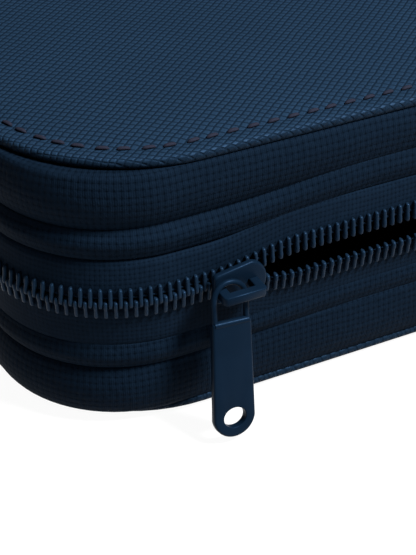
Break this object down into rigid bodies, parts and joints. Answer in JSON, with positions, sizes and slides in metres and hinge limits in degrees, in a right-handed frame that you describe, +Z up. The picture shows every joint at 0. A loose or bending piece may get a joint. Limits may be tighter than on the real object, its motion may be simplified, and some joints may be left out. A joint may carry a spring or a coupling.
{
  "type": "travel document organizer",
  "caption": "Zipped clamshell case for travel documents, with flat covers, soft fabric side walls, a slider with a long puller, and pockets inside.",
  "frame": {"origin": "centre of the flat underside of the bottom cover, on the surface that the case lies on", "axes": "+X along the width, to the right as seen from the zipped front; +Y towards the hinged back; +Z up"},
  "size_m": [0.244, 0.1538, 0.0524],
  "materials": {
    "cover": "satin",
    "thread": "matte",
    "board": "matte",
    "wall_fabric": "matte",
    "lining": "matte",
    "mesh": "matte",
    "zip_tape": "matte",
    "zip_teeth": "gloss",
    "slider_metal": "satin"
  },
  "bodies": {
    "base": {"bottom_cover": "cover", "bottom_stitching": "thread", "bottom_board": "board", "lower_gusset": "wall_fabric", "lower_welt": "wall_fabric", "lower_lining": "lining", "lower_tape_closed": "zip_tape", "lower_tape_far": "zip_tape", "lower_teeth_closed": "zip_teeth", "lower_teeth_far": "zip_teeth", "zip_end_left": "wall_fabric", "zip_end_right": "wall_fabric", "spine_strip": "wall_fabric", "passport_pocket": "lining", "card_slots": "lining"},
    "lid": {"top_cover": "cover", "top_stitching": "thread", "top_board": "board", "upper_gusset": "wall_fabric", "upper_welt": "wall_fabric", "upper_lining": "lining", "upper_tape_closed": "zip_tape", "upper_tape_far": "zip_tape", "upper_teeth_closed": "zip_teeth", "upper_teeth_far": "zip_teeth", "mesh_pocket": "mesh", "mesh_pocket_binding": "lining"},
    "upper_lip": {"upper_tape_lip": "zip_tape", "upper_teeth_lip": "zip_teeth"},
    "lower_lip": {"lower_tape_lip": "zip_tape", "lower_teeth_lip": "zip_teeth"},
    "slider": {"slider_body": "slider_metal", "slider_bridge": "slider_metal"},
    "puller": {"pull_tab": "slider_metal"}
  },
  "joints": [
    {"name": "lid_open", "type": "hinge", "parent": "base", "child": "lid", "pos_m": [0, 0.0723, 0.026], "axis": [-1, 0, 0], "range_deg": [0, 180], "deforming": ["spine_strip"]},
    {"name": "slider_slide", "type": "slide", "parent": "base", "child": "slider", "axis": [1, 0, 0], "range_m": [0, 0.17], "deforming": ["upper_teeth_lip", "lower_teeth_lip"]},
    {"name": "puller_swing", "type": "hinge", "parent": "slider", "child": "puller", "pos_m": [-0.089, -0.0752, 0.0268], "axis": [0, 1, 0], "range_deg": [-12, 90]},
    {"name": "upper_lip_close", "type": "slide", "parent": "lid", "child": "upper_lip", "axis": [0, 0, -1], "range_m": [-0.0001, 0.0023]},
    {"name": "lower_lip_close", "type": "slide", "parent": "base", "child": "lower_lip", "axis": [0, 0, 1], "range_m": [-0.0001, 0.0023]}
  ],
  "couplings": [
    {"joint": "upper_lip_close", "follows": "slider_slide", "ratio": 0.013529},
    {"joint": "lower_lip_close", "follows": "slider_slide", "ratio": 0.013529}
  ]
}
